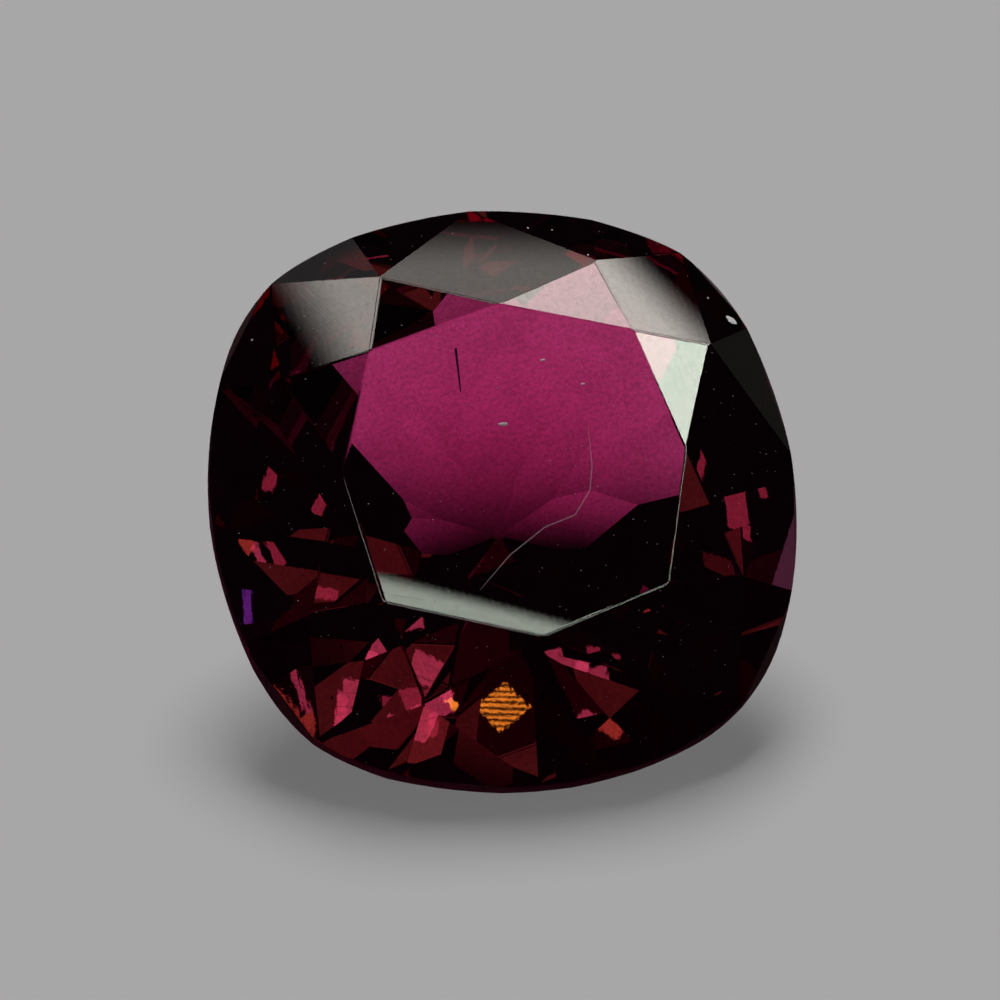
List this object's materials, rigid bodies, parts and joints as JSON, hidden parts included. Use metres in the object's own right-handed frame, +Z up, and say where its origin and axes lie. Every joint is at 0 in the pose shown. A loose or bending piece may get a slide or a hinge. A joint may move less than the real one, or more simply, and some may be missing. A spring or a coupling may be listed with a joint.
{
  "type": "cushion-cut rubellite tourmaline",
  "caption": "Loose transparent pink-red gemstone with a cushion outline and brilliant facets, lying on one facet of its pavilion.",
  "frame": {"origin": "centre of the pavilion facet that the stone lies on", "axes": "+Z up from the ground; +X along the stone's width; the table faces up and leans towards -Y"},
  "size_m": [0.0098, 0.0083, 0.0065],
  "materials": {
    "rubellite": "polished, transparent, deep pink-red body colour"
  },
  "bodies": {
    "root": {"rubellite": "rubellite"}
  },
  "joints": []
}
